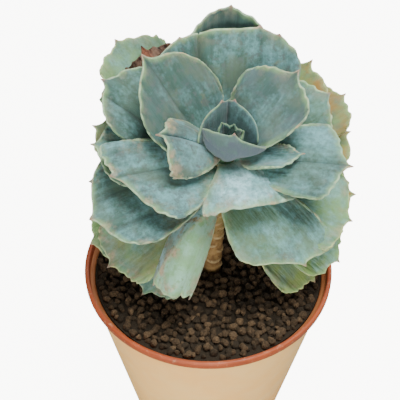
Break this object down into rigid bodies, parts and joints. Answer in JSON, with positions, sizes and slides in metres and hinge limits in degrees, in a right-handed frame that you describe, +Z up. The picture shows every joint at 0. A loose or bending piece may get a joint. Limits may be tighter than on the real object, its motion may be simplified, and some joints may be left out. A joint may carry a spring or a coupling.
{
  "type": "potted monstrose ghost echeveria",
  "caption": "Blue-grey leafy succulent rosette with broad, notched and rolled monstrose leaves on a short scarred stem, growing in grit in a tapered round plastic pot.",
  "frame": {"origin": "centre of the flat underside of the pot", "axes": "+Z up, -Y towards the viewer, +X to the viewer's right"},
  "size_m": [0.1115, 0.109, 0.1901],
  "materials": {
    "pot": "moulded terracotta-coloured plastic, satin",
    "soil": "dry dark lava and pumice grit",
    "stem": "dry corky stem with leaf scars",
    "leaf": "fleshy leaf with a powdery blue-grey wax bloom",
    "dried_leaf": "dry papery leaf"
  },
  "bodies": {
    "root": {"pot": "pot", "soil": "soil", "stem": "stem", "bud_leaf_1": "leaf", "bud_leaf_2": "leaf", "bud_leaf_3": "leaf", "bud_leaf_4": "leaf", "heart_leaf_back": "leaf", "heart_leaf_front": "leaf", "inner_leaf_left_curled": "leaf", "inner_leaf_right": "leaf", "inner_leaf_right_folded": "leaf", "inner_leaf_left": "leaf", "inner_leaf_front": "leaf", "middle_leaf_back_double": "leaf", "middle_leaf_left": "leaf", "middle_leaf_right": "leaf", "middle_leaf_back_right": "leaf", "middle_leaf_fan_upper": "leaf", "middle_leaf_fan_lower": "leaf", "middle_leaf_front_left": "leaf", "middle_leaf_back": "leaf", "middle_leaf_front_hanging": "leaf", "middle_leaf_front_right": "leaf", "dried_leaf": "dried_leaf", "outer_leaf_back_right": "leaf", "outer_leaf_right_1": "leaf", "outer_leaf_right_4": "leaf", "outer_leaf_right_2": "leaf", "outer_leaf_right_3": "leaf", "outer_leaf_back_left": "leaf", "outer_leaf_left_1": "leaf", "outer_leaf_left_2": "leaf", "outer_leaf_left_3": "leaf", "outer_leaf_front_left_2": "leaf", "outer_leaf_front_right_1": "leaf", "outer_leaf_front_left_1": "leaf", "outer_leaf_front_right_2": "leaf", "outer_leaf_front_left_3": "leaf", "rear_leaf_1": "leaf", "rear_leaf_2": "leaf", "rear_leaf_3": "leaf", "rear_leaf_4": "leaf", "rear_leaf_5": "leaf", "rear_leaf_6": "leaf", "rear_leaf_7": "leaf", "rear_leaf_8": "leaf"}
  },
  "joints": []
}
